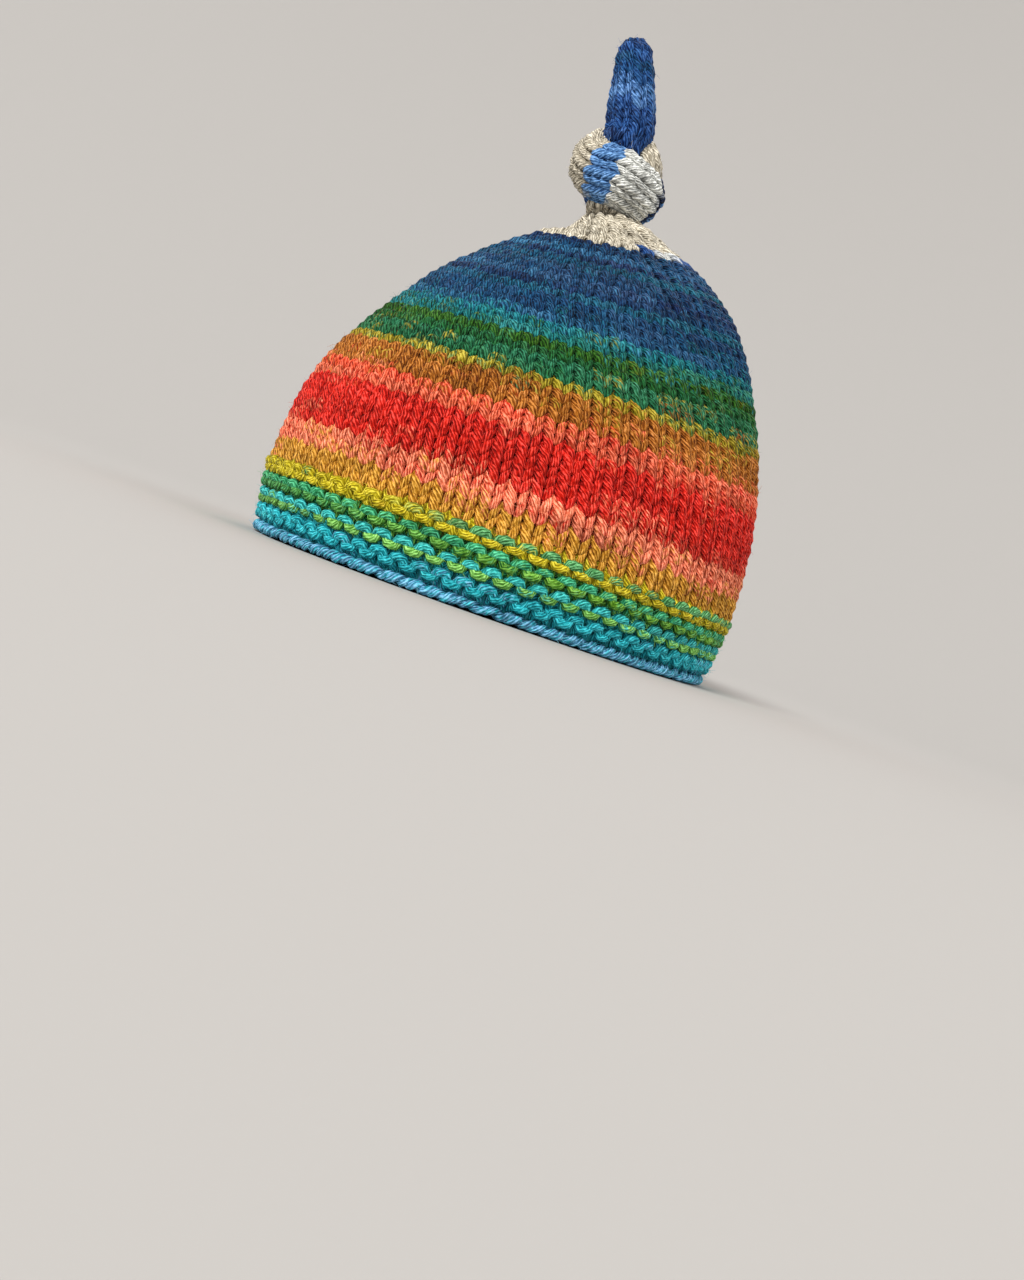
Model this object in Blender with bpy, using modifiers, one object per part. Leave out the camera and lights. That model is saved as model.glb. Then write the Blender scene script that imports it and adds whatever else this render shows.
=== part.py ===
"""A knitted beanie with a knotted tube on top, standing on its brim. Metres, +Z up, front towards -Y.

The hat is knitted from the brim up in one cloth. Its sections are the garter-stitch brim, the
stockinette crown, the gathered stem, the overhand knot and the free tip of the tube.
"""

import math

import bmesh
import bpy
from mathutils import Matrix, Vector

# Outer sizes of the hat
HAT_LENGTH = 0.2020  # front to back, over the brim
HAT_WIDTH = 0.1725  # side to side, over the brim
BODY_HEIGHT = 0.1443  # from the rim to the middle of the crown's top
TOP_SETBACK = 0.0049  # how far behind the rim's middle the crown's top stands
TOP_TILT = math.radians(10.6)  # the crown's top faces this far forward
ROUND_START = 0.80  # the share of BODY_HEIGHT from which the oval turns round
BACK_FULLNESS = 0.035  # the oval is wider at the back than at the front, by this share

# Walls, and the clearance between sections of the knit
BRIM_WALL = 0.0060
CROWN_WALL = 0.0045
STEM_WALL = 0.0036
SEAT_GAP = 0.0003

# The brim and its garter ridges
BRIM_HEIGHT = 0.0270
BRIM_PROUD = 0.0012  # the brim stands this far outside the crown
CAST_ON_EDGE = 0.0046  # the plain edge under the lowest ridge
RIDGE_COUNT = 4
RIDGE_RELIEF = 0.0012

# The gathers, where the crown draws in to the stem
GATHER_COUNT = 8
GATHER_RELIEF = 0.0013
GATHER_START = 0.84  # as a share of BODY_HEIGHT

# The stem, from the crown to the tube
STEM_HEIGHT = 0.0100
STEM_SHIFT = 0.0085  # how far the stem's top stands to the side of its foot

# The knitted tube, its knot and its free tip
TUBE_RADIUS = 0.0094
KNOT_HALF_WIDTH = 0.0174
KNOT_HEIGHT = 0.0330
TIP_LENGTH = 0.0325
TIP_END_RADIUS = 0.0068
KNOT_LEAN = math.radians(18)
VIEW_FROM = math.radians(37)  # the front of the knot is turned this far from the hat's own front

# Facets
ROUND_STEPS = 64
STEM_STEPS = 48
TUBE_STEPS = 24
RIDGE_STEPS = 5
ROUTE_STEPS = 5
KNOT_VOXEL = 0.0020

# Outline of the brim, as shares of BRIM_HEIGHT and of the hat's half sizes
BRIM_SECTIONS = [
    # rise, girth
    (0.00, 0.962),
    (0.35, 0.977),
    (0.70, 0.991),
    (1.00, 1.000),
]

# Outline of the crown, as shares of BODY_HEIGHT, of the hat's half sizes inside BRIM_PROUD, of
# TOP_SETBACK and of TOP_TILT
CROWN_SECTIONS = [
    # rise, girth, setback, tilt
    (0.19, 0.998, 0.00, 0.00),
    (0.27, 0.990, 0.02, 0.02),
    (0.36, 0.975, 0.04, 0.10),
    (0.48, 0.933, 0.10, 0.28),
    (0.60, 0.858, 0.20, 0.50),
    (0.71, 0.766, 0.34, 0.70),
    (0.81, 0.667, 0.52, 0.86),
    (0.89, 0.569, 0.70, 0.95),
    (0.95, 0.456, 0.86, 0.99),
    (1.00, 0.327, 1.00, 1.00),
]

# Outline of the stem, as shares of STEM_HEIGHT, of the way in from its foot to the tube and of
# STEM_SHIFT
STEM_SECTIONS = [
    # rise, way_in, shift
    (0.00, 0.00, 0.00),
    (0.20, 0.27, 0.10),
    (0.45, 0.55, 0.30),
    (0.70, 0.79, 0.60),
    (1.00, 1.00, 1.00),
]

# Route of the tube through its overhand knot, seen from the knot's front. It rises at the right,
# bends over behind the tip, comes forward at the left, crosses in front to the lower right, goes
# round behind and comes up through the middle. Across and back are shares of KNOT_HALF_WIDTH, rise
# is a share of KNOT_HEIGHT, girth is a share of TUBE_RADIUS, and flat says how far the tube is
# pressed towards the middle of the knot.
KNOT_ROUTE = [
    # across, back, rise, girth, flat
    (0.00, 0.00, -0.20, 1.00, 0.00),
    (0.12, 0.08, 0.06, 1.00, 0.05),
    (0.48, 0.22, 0.27, 0.98, 0.10),
    (0.76, 0.22, 0.48, 0.98, 0.16),
    (0.75, 0.22, 0.67, 0.96, 0.20),
    (0.48, 0.42, 0.79, 0.94, 0.25),
    (0.08, 0.42, 0.79, 0.97, 0.24),
    (-0.21, 0.16, 0.70, 1.03, 0.20),
    (-0.31, -0.17, 0.55, 1.10, 0.22),
    (-0.15, -0.45, 0.43, 1.14, 0.25),
    (0.22, -0.56, 0.35, 1.13, 0.27),
    (0.57, -0.46, 0.24, 1.10, 0.27),
    (0.80, -0.14, 0.17, 1.03, 0.27),
    (0.72, 0.27, 0.16, 0.96, 0.25),
    (0.36, 0.50, 0.20, 0.91, 0.20),
    (-0.02, 0.43, 0.30, 0.88, 0.12),
    (-0.06, 0.10, 0.48, 0.88, 0.00),
    (0.22, -0.04, 0.70, 0.94, 0.00),
    (0.46, -0.03, 0.90, 1.00, 0.00),
    (0.49, 0.00, 1.10, 1.01, 0.00),
]
KNOT_CORE = (0.27, 0.00, 0.43)  # the middle of the knot, in the same shares

COLLECTION = "top_knot_beanie"


def clear_scene():
    for obj in list(bpy.data.objects):
        bpy.data.objects.remove(obj, do_unlink=True)


def make_collection(name):
    collection = bpy.data.collections.new(name)
    bpy.context.scene.collection.children.link(collection)
    return collection


def material(name, colour, roughness=0.9):
    made = bpy.data.materials.new(name)
    made.use_nodes = True
    shader = made.node_tree.nodes["Principled BSDF"]
    shader.inputs["Base Color"].default_value = (*colour, 1.0)
    shader.inputs["Roughness"].default_value = roughness
    shader.inputs["Metallic"].default_value = 0.0
    return made


def smooth_step(value):
    clipped = min(max(value, 0.0), 1.0)
    return clipped * clipped * (3 - 2 * clipped)


def read_table(table, column, spot):
    """The column's value where the first column is spot, on a smooth curve through the rows."""
    marks = [row[0] for row in table]
    values = [row[column] for row in table]
    last = len(marks) - 1
    spot = min(max(spot, marks[0]), marks[last])
    low = max(i for i in range(last) if marks[i] <= spot)
    span = marks[low + 1] - marks[low]

    def slope(i):
        before = max(i - 1, 0)
        after = min(i + 1, last)
        return (values[after] - values[before]) / (marks[after] - marks[before])

    t = (spot - marks[low]) / span
    from_low = (2 * t**3 - 3 * t**2 + 1) * values[low] + (t**3 - 2 * t**2 + t) * span * slope(low)
    to_high = (3 * t**2 - 2 * t**3) * values[low + 1] + (t**3 - t**2) * span * slope(low + 1)
    return from_low + to_high


def evenly(low, high, steps):
    return [low + (high - low) * i / steps for i in range(steps + 1)]


def turns(steps):
    return [2 * math.pi * i / steps for i in range(steps)]


def closed_shell(name, outer, inner, collection, colour):
    """A wall between an outer and an inner loft, each a list of rings from the bottom up."""
    mesh = bmesh.new()
    rings = outer + inner[::-1]
    made = [[mesh.verts.new(point) for point in ring] for ring in rings]
    for ring, following in zip(made, made[1:] + made[:1]):
        for i, corner in enumerate(ring):
            after = (i + 1) % len(ring)
            mesh.faces.new((corner, ring[after], following[after], following[i]))
    data = bpy.data.meshes.new(name)
    mesh.to_mesh(data)
    mesh.free()
    data.shade_smooth()
    data.set_sharp_from_angle(angle=math.radians(60))
    obj = bpy.data.objects.new(name, data)
    obj.data.materials.append(material(f"{name}_yarn", colour))
    collection.objects.link(obj)
    return obj


def gathers(share, turn):
    """How far a gather stands out at this share of BODY_HEIGHT."""
    growth = smooth_step((share - GATHER_START) / (1 - GATHER_START))
    return GATHER_RELIEF * growth * math.cos(GATHER_COUNT * turn)


def oval(turn, half_length, half_width):
    """A reach of the hat's oval section. A turn of 0 is at +X, and a quarter turn is at the back."""
    fullness = 1 + BACK_FULLNESS * math.sin(turn)
    return Vector((half_width * math.cos(turn) * fullness, half_length * math.sin(turn), 0.0))


def brim_ring(height, inset):
    pitch = (BRIM_HEIGHT - SEAT_GAP - CAST_ON_EDGE) / RIDGE_COUNT
    ridge = 0.0
    if height > CAST_ON_EDGE and not inset:
        ridge = math.sin(math.pi * (height - CAST_ON_EDGE) / pitch) ** 2
    outward = RIDGE_RELIEF * (ridge - 1) - inset
    girth = read_table(BRIM_SECTIONS, 1, height / BRIM_HEIGHT)
    half_length = HAT_LENGTH / 2 * girth + outward
    half_width = HAT_WIDTH / 2 * girth + outward
    foot = Vector((0.0, 0.0, height))
    return [foot + oval(turn, half_length, half_width) for turn in turns(ROUND_STEPS)]


def build_brim(collection):
    top = BRIM_HEIGHT - SEAT_GAP
    heights = [0.0, CAST_ON_EDGE / 2] + evenly(CAST_ON_EDGE, top, RIDGE_COUNT * RIDGE_STEPS)
    outer = [brim_ring(height, 0.0) for height in heights]
    inner = [brim_ring(height, BRIM_WALL - RIDGE_RELIEF) for height in evenly(0.0, top, 4)]
    return closed_shell("brim", outer, inner, collection, (0.05, 0.30, 0.28))


def crown_middle(share):
    setback = read_table(CROWN_SECTIONS, 2, share) * TOP_SETBACK
    return Vector((0.0, setback, share * BODY_HEIGHT))


def crown_point(share, turn):
    """A point of the crown's outside, at this share of BODY_HEIGHT."""
    girth = read_table(CROWN_SECTIONS, 1, share)
    half_width = (HAT_WIDTH / 2 - BRIM_PROUD) * girth
    half_length = (HAT_LENGTH / 2 - BRIM_PROUD) * girth
    half_length += (half_width - half_length) * smooth_step((share - ROUND_START) / (1 - ROUND_START))
    fold = gathers(share, turn)
    tilt = Matrix.Rotation(TOP_TILT * read_table(CROWN_SECTIONS, 3, share), 3, "X")
    return crown_middle(share) + tilt @ oval(turn, half_length + fold, half_width + fold)


def outside(point, shares, steps):
    return [[point(share, turn) for turn in turns(steps)] for share in shares]


def inside(point, middle, shares, steps, wall):
    """The same rings drawn in, so that the wall keeps its thickness where the side slopes."""
    low = shares[0]
    rings = []
    for share in shares:
        centre = middle(share)
        below = max(share - 0.015, low)
        above = min(share + 0.015, 1.0)
        ring = []
        for turn in turns(steps):
            spot = point(share, turn)
            around = point(share, turn + 0.02) - point(share, turn - 0.02)
            upwards = point(above, turn) - point(below, turn)
            normal = around.cross(upwards).normalized()
            reach = centre - spot
            inset = wall / max(-normal.dot(reach.normalized()), 0.25)
            ring.append(spot + reach.normalized() * min(inset, 0.62 * reach.length))
        rings.append(ring)
    return rings


def build_crown(collection):
    low = BRIM_HEIGHT / BODY_HEIGHT
    outer = outside(crown_point, evenly(low, 0.70, 7) + evenly(0.755, 1.0, 7), ROUND_STEPS)
    shares = evenly(low, 0.70, 3) + evenly(0.78, 1.0, 4)
    inner = inside(crown_point, crown_middle, shares, ROUND_STEPS, CROWN_WALL)
    return closed_shell("crown", outer, inner, collection, (0.55, 0.06, 0.04))


def frame_at(origin, across, away):
    frame = Matrix((across, away, across.cross(away))).transposed().to_4x4()
    frame.translation = origin
    return frame


def stem_foot_frame():
    """Axes in the crown's top, turned to the knot's front."""
    tilt = Matrix.Rotation(TOP_TILT, 3, "X") @ Matrix.Rotation(VIEW_FROM, 3, "Z")
    return frame_at(crown_middle(1.0), tilt.col[0], tilt.col[1])


def knot_frame():
    """The knot's own axes, with its origin in the middle of the stem's top."""
    lean = Matrix.Rotation(VIEW_FROM, 3, "Z") @ Matrix.Rotation(-KNOT_LEAN, 3, "Y")
    level = Matrix.Rotation(VIEW_FROM, 3, "Z")
    origin = crown_middle(1.0) - level.col[0] * STEM_SHIFT + level.col[2] * STEM_HEIGHT
    return frame_at(origin, lean.col[0], lean.col[1])


def stem_frame(share):
    """Axes that turn from the crown's top to the knot, along the stem."""
    foot = stem_foot_frame()
    top = knot_frame()
    turned = foot.to_quaternion().slerp(top.to_quaternion(), smooth_step(share))
    frame = turned.to_matrix().to_4x4()
    start = foot.translation + foot.to_3x3().col[2] * SEAT_GAP
    rise = (top.translation - start).z * share
    shift = (top.translation - start) - Vector((0.0, 0.0, (top.translation - start).z))
    frame.translation = start + Vector((0.0, 0.0, rise)) + shift * read_table(STEM_SECTIONS, 2, share)
    return frame


def stem_middle(share):
    return stem_frame(share).translation


def stem_point(share, turn, outward=0.0):
    """A point of the stem's outside. The folds carry on from the crown's."""
    foot_radius = (crown_point(1.0, 0.0) - crown_middle(1.0)).length - gathers(1.0, 0.0)
    neck_radius = TUBE_RADIUS * KNOT_ROUTE[0][3]
    radius = foot_radius + (neck_radius - foot_radius) * read_table(STEM_SECTIONS, 1, share)
    reach = radius + outward + gathers(1.0, turn) * (1 - smooth_step(share))
    local = turn - VIEW_FROM
    return stem_frame(share) @ Vector((reach * math.cos(local), reach * math.sin(local), 0.0))


def build_stem(collection):
    outer = outside(stem_point, evenly(0.0, 1.0, 8), STEM_STEPS)
    inner = inside(stem_point, stem_middle, evenly(0.0, 1.0, 5), STEM_STEPS, STEM_WALL)
    return closed_shell("stem", outer, inner, collection, (0.62, 0.56, 0.45))


def route_point(table, spot):
    """Every column at this spot of the route, where whole numbers are the table's rows."""
    low = min(int(spot), len(table) - 2)
    t = spot - low
    rows = [table[min(max(low + i, 0), len(table) - 1)] for i in (-1, 0, 1, 2)]
    found = []
    for before, start, end, after in zip(*rows):
        bend = 2 * before - 5 * start + 4 * end - after
        twist = 3 * start - before - 3 * end + after
        found.append(start + 0.5 * ((end - before) * t + bend * t**2 + twist * t**3))
    return found


def knot_sections():
    """Places along the tube, in the knot's own axes: the middle, the radius and how flat it is."""
    sections = []
    count = (len(KNOT_ROUTE) - 1) * ROUTE_STEPS
    for i in range(count + 1):
        across, back, rise, girth, flat = route_point(KNOT_ROUTE, i / ROUTE_STEPS)
        middle = Vector((across * KNOT_HALF_WIDTH, back * KNOT_HALF_WIDTH, rise * KNOT_HEIGHT))
        sections.append((middle, girth * TUBE_RADIUS, flat))
    return sections


def capped_loft(name, rings, top=None):
    """A closed mesh through rings of points. Its far end comes to a point at top, if given."""
    mesh = bmesh.new()
    made = [[mesh.verts.new(point) for point in ring] for ring in rings]
    for low, high in zip(made, made[1:]):
        for i, corner in enumerate(low):
            after = (i + 1) % len(low)
            mesh.faces.new((corner, low[after], high[after], high[i]))
    mesh.faces.new(made[0][::-1])
    if top is None:
        mesh.faces.new(made[-1])
    else:
        point = mesh.verts.new(top)
        for i, corner in enumerate(made[-1]):
            mesh.faces.new((corner, made[-1][(i + 1) % len(made[-1])], point))
    data = bpy.data.meshes.new(name)
    mesh.to_mesh(data)
    mesh.free()
    data.shade_smooth()
    return data


def knot_tube():
    """The tube through its route, pressed towards the knot's middle where it is flat."""
    sections = knot_sections()
    core = Vector(KNOT_CORE)
    core = Vector((core.x * KNOT_HALF_WIDTH, core.y * KNOT_HALF_WIDTH, core.z * KNOT_HEIGHT))
    side = Vector((1.0, 0.0, 0.0))
    rings = []
    for i, (middle, radius, flat) in enumerate(sections):
        before = sections[max(i - 1, 0)][0]
        after = sections[min(i + 1, len(sections) - 1)][0]
        along = (after - before).normalized()
        side = (side - along * side.dot(along)).normalized()
        up = along.cross(side)
        press = middle - core
        press = (press - along * press.dot(along)).normalized()
        ring = []
        for turn in turns(TUBE_STEPS):
            reach = (side * math.cos(turn) + up * math.sin(turn)) * radius
            ring.append(middle + reach - press * reach.dot(press) * flat)
        rings.append(ring)
    return capped_loft("knot", rings)


def add_cutter(target, name, data, cutters):
    """Cuts the mesh out of the target."""
    cutter = bpy.data.objects.new(name, data)
    cutter.hide_render = True
    cutter.display_type = "WIRE"
    cutters.objects.link(cutter)
    cut = target.modifiers.new(name, "BOOLEAN")
    cut.operation = "DIFFERENCE"
    cut.object = cutter
    cut.solver = "EXACT"
    return cutter


def build_knot(collection, cutters):
    """The crossing tube, fused to one body and trimmed where it meets the stem and the tip."""
    knot = bpy.data.objects.new("knot", knot_tube())
    knot.matrix_world = knot_frame()
    knot.data.materials.append(material("knot_yarn", (0.45, 0.47, 0.48)))
    collection.objects.link(knot)
    fuse = knot.modifiers.new("fuse", "REMESH")
    fuse.mode = "VOXEL"
    fuse.voxel_size = KNOT_VOXEL
    fuse.use_smooth_shade = True

    # The stem's outside, grown by the clearance
    rings = []
    for share in evenly(0.0, 1.0, 8):
        rings.append([stem_point(share, turn, SEAT_GAP * 1.3) for turn in turns(STEM_STEPS)])
    lift = knot_frame().to_3x3().col[2] * SEAT_GAP
    rings.append([point + lift for point in rings[-1]])
    add_cutter(knot, "stem_trim", capped_loft("stem_trim", rings), cutters)

    # Everything above the knot's top
    wide = 4 * TUBE_RADIUS
    corners = [(-wide, -wide), (wide, -wide), (wide, wide), (-wide, wide)]
    block = []
    for rise in (KNOT_HEIGHT, KNOT_HEIGHT + TUBE_RADIUS * 2):
        block.append([knot_frame() @ Vector((x, y, rise)) for x, y in corners])
    add_cutter(knot, "tip_trim", capped_loft("tip_trim", block), cutters)
    return knot


def build_tip(collection):
    """The free end of the tube, drawn in a little and rounded at its top."""
    base_middle, base_radius, _ = knot_sections()[-1]
    start = KNOT_HEIGHT + SEAT_GAP
    straight = TIP_LENGTH - TIP_END_RADIUS
    shape = []
    for share in evenly(0.0, 1.0, 6):
        radius = base_radius + (TIP_END_RADIUS - base_radius) * share**1.6
        shape.append((start + straight * share, radius))
    for turn in evenly(0.0, math.pi / 2, 5)[1:-1]:
        rise = start + straight + TIP_END_RADIUS * math.sin(turn)
        shape.append((rise, TIP_END_RADIUS * math.cos(turn)))
    rings = []
    for rise, radius in shape:
        across = base_middle.x + (rise - start) * 0.03
        ring = []
        for turn in turns(TUBE_STEPS):
            reach = Vector((radius * math.cos(turn), radius * math.sin(turn), 0.0))
            ring.append(Vector((across, base_middle.y, rise)) + reach)
        rings.append(ring)
    top = Vector((across, base_middle.y, start + TIP_LENGTH))
    tip = bpy.data.objects.new("tip", capped_loft("tip", rings, top))
    tip.matrix_world = knot_frame()
    tip.data.materials.append(material("tip_yarn", (0.06, 0.13, 0.32)))
    collection.objects.link(tip)
    return tip


clear_scene()
parts = make_collection(COLLECTION)
trims = make_collection("cutters")
build_brim(parts)
build_crown(parts)
build_stem(parts)
build_knot(parts, trims)
build_tip(parts)
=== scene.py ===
"""The looks of a knitted top knot beanie: every stitch is a loop of yarn on the surface of the hat.

Metres, +Z up. A turn is an angle round the hat, 0 at +X and a quarter turn at the back. A rise is a
length along the knit, from the rim up. Places along the yarn are counted in rounds of knitting.
"""

import math

import bpy
import numpy as np
from mathutils import Matrix, Vector


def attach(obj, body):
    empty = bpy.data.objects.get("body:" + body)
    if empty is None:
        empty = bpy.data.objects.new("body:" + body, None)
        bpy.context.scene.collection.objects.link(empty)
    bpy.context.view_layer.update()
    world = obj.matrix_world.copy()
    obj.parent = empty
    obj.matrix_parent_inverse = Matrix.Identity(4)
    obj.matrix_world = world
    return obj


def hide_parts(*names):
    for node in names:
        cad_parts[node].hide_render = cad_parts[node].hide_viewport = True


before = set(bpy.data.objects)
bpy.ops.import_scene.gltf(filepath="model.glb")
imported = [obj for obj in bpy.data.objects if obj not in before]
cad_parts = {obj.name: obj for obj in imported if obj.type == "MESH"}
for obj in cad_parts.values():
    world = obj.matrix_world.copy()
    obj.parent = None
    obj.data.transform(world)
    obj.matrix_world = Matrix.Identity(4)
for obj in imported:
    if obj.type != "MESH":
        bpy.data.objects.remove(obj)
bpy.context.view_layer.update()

BODY = "root"
MM = 0.001

# The hat's sizes, as its solids have them
HAT_LENGTH = 0.2020
HAT_WIDTH = 0.1725
BODY_HEIGHT = 0.1443
TOP_SETBACK = 0.0049
TOP_TILT = math.radians(10.6)
ROUND_START = 0.80
BACK_FULLNESS = 0.035
BRIM_HEIGHT = 0.0270
BRIM_PROUD = 0.0012
GATHER_COUNT = 8
GATHER_RELIEF = 0.0013
GATHER_START = 0.84
STEM_HEIGHT = 0.0100
STEM_SHIFT = 0.0085
TUBE_RADIUS = 0.0094
KNOT_HALF_WIDTH = 0.0174
KNOT_HEIGHT = 0.0330
TIP_LENGTH = 0.0325
TIP_END_RADIUS = 0.0068
TIP_TAPER = 1.6  # the power by which the tip narrows towards its end
TIP_SLOPE = 0.03
KNOT_LEAN = math.radians(18)
VIEW_FROM = math.radians(37)

# Outline of the brim, as shares of BRIM_HEIGHT and of the hat's half sizes
BRIM_SECTIONS = [
    # rise, girth
    (0.00, 0.962),
    (0.35, 0.977),
    (0.70, 0.991),
    (1.00, 1.000),
]

# Outline of the crown, as shares of BODY_HEIGHT, of the hat's half sizes inside BRIM_PROUD, of
# TOP_SETBACK and of TOP_TILT
CROWN_SECTIONS = [
    # rise, girth, setback, tilt
    (0.19, 0.998, 0.00, 0.00),
    (0.27, 0.990, 0.02, 0.02),
    (0.36, 0.975, 0.04, 0.10),
    (0.48, 0.933, 0.10, 0.28),
    (0.60, 0.858, 0.20, 0.50),
    (0.71, 0.766, 0.34, 0.70),
    (0.81, 0.667, 0.52, 0.86),
    (0.89, 0.569, 0.70, 0.95),
    (0.95, 0.456, 0.86, 0.99),
    (1.00, 0.327, 1.00, 1.00),
]

# Outline of the stem, as shares of STEM_HEIGHT, of the way in to the tube and of STEM_SHIFT
STEM_SECTIONS = [
    # rise, way_in, shift
    (0.00, 0.00, 0.00),
    (0.20, 0.27, 0.10),
    (0.45, 0.55, 0.30),
    (0.70, 0.79, 0.60),
    (1.00, 1.00, 1.00),
]

# Route of the tube through its knot. Across and back are shares of KNOT_HALF_WIDTH, rise is a
# share of KNOT_HEIGHT, girth is a share of TUBE_RADIUS, and flat is how far the tube is pressed.
KNOT_ROUTE = [
    # across, back, rise, girth, flat
    (0.00, 0.00, -0.20, 1.00, 0.00),
    (0.12, 0.08, 0.06, 1.00, 0.05),
    (0.48, 0.22, 0.27, 0.98, 0.10),
    (0.76, 0.22, 0.48, 0.98, 0.16),
    (0.75, 0.22, 0.67, 0.96, 0.20),
    (0.48, 0.42, 0.79, 0.94, 0.25),
    (0.08, 0.42, 0.79, 0.97, 0.24),
    (-0.21, 0.16, 0.70, 1.03, 0.20),
    (-0.31, -0.17, 0.55, 1.10, 0.22),
    (-0.15, -0.45, 0.43, 1.14, 0.25),
    (0.22, -0.56, 0.35, 1.13, 0.27),
    (0.57, -0.46, 0.24, 1.10, 0.27),
    (0.80, -0.14, 0.17, 1.03, 0.27),
    (0.72, 0.27, 0.16, 0.96, 0.25),
    (0.36, 0.50, 0.20, 0.91, 0.20),
    (-0.02, 0.43, 0.30, 0.88, 0.12),
    (-0.06, 0.10, 0.48, 0.88, 0.00),
    (0.22, -0.04, 0.70, 0.94, 0.00),
    (0.46, -0.03, 0.90, 1.00, 0.00),
    (0.49, 0.00, 1.10, 1.01, 0.00),
]
KNOT_CORE = (0.27, 0.00, 0.43)

# The knit
STITCHES = 72  # in one round of the brim and of the lower crown
STITCH_WIDTH = 0.0078  # below this the yarn is squeezed
RIDGE_CENTRES = (0.0075, 0.0130, 0.0185, 0.0240)  # heights of the garter ridges, lowest first
BODY_ROUNDS = 34  # stockinette rounds in the crown
TUBE_STITCHES = 8
TUBE_ROUND_HEIGHT = 0.0044
SEAM_TURN = math.radians(90)  # each round starts here, at the middle of the back

# How many stitches a round of the crown holds from the given round on
DECREASES = [
    # round, stitches
    (1, 72),
    (25, 64),
    (27, 56),
    (29, 48),
    (31, 40),
    (33, 32),
]
STEM_ROUNDS = (24, 24, 16, 16, 8)  # stitches in each round of the stem

# How far the wales lean to the left as they rise from the brim
WALE_LEAN = [
    # rise, degrees
    (0.000, 0.0),
    (0.027, 0.0),
    (0.043, 0.9),
    (0.075, 3.7),
    (0.090, 6.0),
    (0.106, 10.0),
    (0.125, 17.0),
    (0.145, 24.0),
    (0.180, 32.0),
]

# A loop of yarn in each kind of round. Half its height is a share of the round's height. Its legs
# sway by a share of a stitch, the left one more than the right by twice the skew, and they stand
# apart by the spread. Forward brings the foot of each leg out in front of the head below it.
LOOPS = {
    # kind: half_height, sway, skew, spread, forward, depth, yarn_width, yarn_depth
    "plain": (1.10, 0.228, 0.09, 0.009, 1.00, 0.00130, 0.0034, 0.0031),
    "tube": (1.08, 0.215, 0.09, 0.016, 0.70, 0.00115, 0.0033, 0.0029),
    "garter_knit": (0.98, 0.165, 0.0, 0.0, 0.0, 0.00125, 0.0033, 0.0030),
    "garter_purl": (0.95, 0.165, 0.0, 0.0, 0.0, 0.00120, 0.0031, 0.0028),
}
LOOP_STEPS = 14
YARN_SIDES = 8
LEAST_SQUEEZE = 0.72  # the yarn's least share of its width

# How unevenly the hat is knitted, as shares of the sway, of a stitch, of the loop's height, of the
# round's height and of the yarn's thickness, and how far a loop stands out
UNEVEN_SWAY = 0.18
UNEVEN_PLACE = 0.035
UNEVEN_HEIGHT = 0.08
UNEVEN_ROUND = 0.07
UNEVEN_YARN = 0.12
UNEVEN_FACE = 0.00022

# The cast-on edge: how high its two strands lie, how far they wind about each other, their yarn,
# and how far they lie inside the brim's outside
CAST_ON_RISE = 0.0020
CAST_ON_RADIUS = 0.0009
CAST_ON_WIDTH = 0.0027
CAST_ON_DEPTH = 0.0024
CAST_ON_SINK = 0.0012

# The wool
STRAND_ANGLE = math.radians(33)  # between the yarn and the strands it is spun from
STRAND_WIDTH = 0.95  # in millimetres
HOLLOW_SHADE_DEEPENING = 0.5  # how much deeper painted shade makes the wool's colour in the hollows of the knit
# How much darker the painted shade in the hollows is
HOLLOW_SHADE_DARKENING = 0.72
# The wall behind the loops is the yarn's colour darkened by this share, as painted shade
BACKING_SHADE = 0.45
FUZZ = {"brim": 1250, "crown": 2700, "stem": 110, "knot": 480, "tip": 160}  # stray fibres
FUZZ_LENGTH = (0.0014, 0.0042)
FUZZ_RADIUS = 0.00005
FUZZ_ROOT = 0.0002  # how deep a fibre starts in the yarn

# Each part draws its random values from seeds of its own, from these on
CAST_ON_SEED = 50
TOP_RIDGE_SEED = 60
FUZZ_SEED = 700

# Colours of the yarn, in sRGB
COLOURS = {
    "sky": (122, 190, 228),
    "teal": (46, 194, 208),
    "sea": (70, 190, 148),
    "lagoon": (64, 196, 192),
    "lime": (136, 202, 100),
    "grass": (126, 182, 56),
    "mint": (116, 190, 126),
    "moss": (82, 166, 92),
    "yellow": (212, 196, 28),
    "gold": (218, 160, 54),
    "salmon": (250, 142, 106),
    "red": (221, 34, 3),
    "coral": (230, 84, 46),
    "copper": (180, 112, 30),
    "olive": (168, 152, 34),
    "leaf": (28, 100, 50),
    "jade": (40, 120, 86),
    "fern": (48, 100, 18),
    "dark_olive": (112, 112, 18),
    "turquoise": (14, 122, 132),
    "blue": (8, 78, 118),
    "dusk": (12, 102, 122),
    "navy": (14, 48, 94),
    "cream": (210, 202, 184),
    "cornflower": (104, 152, 206),
    "white": (220, 222, 218),
    "denim": (38, 88, 152),
    "steel": (54, 118, 156),
}

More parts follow.
